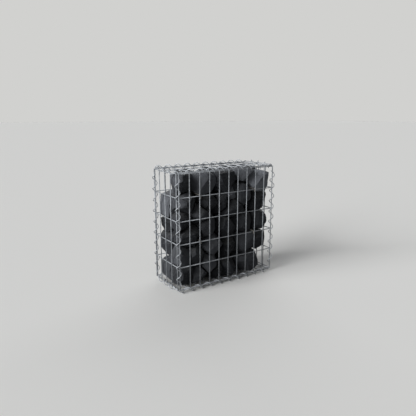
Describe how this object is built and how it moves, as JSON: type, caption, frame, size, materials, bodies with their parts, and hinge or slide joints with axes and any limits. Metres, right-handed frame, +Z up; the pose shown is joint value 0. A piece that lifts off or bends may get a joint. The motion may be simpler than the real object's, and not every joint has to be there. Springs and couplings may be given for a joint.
{
  "type": "free-standing gabion basket filled with stone",
  "caption": "Rectangular welded wire basket, laced along its edges with wire spirals and filled with dark broken stone, standing as a low garden wall or screen.",
  "frame": {"origin": "centre of the footprint, on the ground under the lowest spirals", "axes": "+X along the long side towards the end with the right_mesh panel, +Y from the front panel to the back panel, +Z up"},
  "size_m": [0.5328, 0.2342, 0.5342],
  "materials": {
    "mesh_wire": "galvanised, satin",
    "spiral_wire": "galvanised, satin",
    "spacer_wire": "galvanised, satin",
    "stone": "broken, matt with fine dust"
  },
  "bodies": {
    "root": {"front_mesh": "mesh_wire", "back_mesh": "mesh_wire", "left_mesh": "mesh_wire", "right_mesh": "mesh_wire", "base_mesh": "mesh_wire", "lid_mesh": "mesh_wire", "front_top_spiral": "spiral_wire", "front_bottom_spiral": "spiral_wire", "front_left_spiral": "spiral_wire", "front_right_spiral": "spiral_wire", "back_top_spiral": "spiral_wire", "back_bottom_spiral": "spiral_wire", "back_left_spiral": "spiral_wire", "back_right_spiral": "spiral_wire", "left_top_spiral": "spiral_wire", "left_bottom_spiral": "spiral_wire", "right_top_spiral": "spiral_wire", "right_bottom_spiral": "spiral_wire", "spacer_1": "spacer_wire", "spacer_2": "spacer_wire", "spacer_3": "spacer_wire", "spacer_4": "spacer_wire", "front_top_stones": "stone", "front_upper_stones": "stone", "front_middle_stones": "stone", "front_lower_stones": "stone", "front_bottom_stones": "stone", "back_top_stones": "stone", "back_upper_stones": "stone", "back_middle_stones": "stone", "back_lower_stones": "stone", "back_bottom_stones": "stone"}
  },
  "joints": []
}
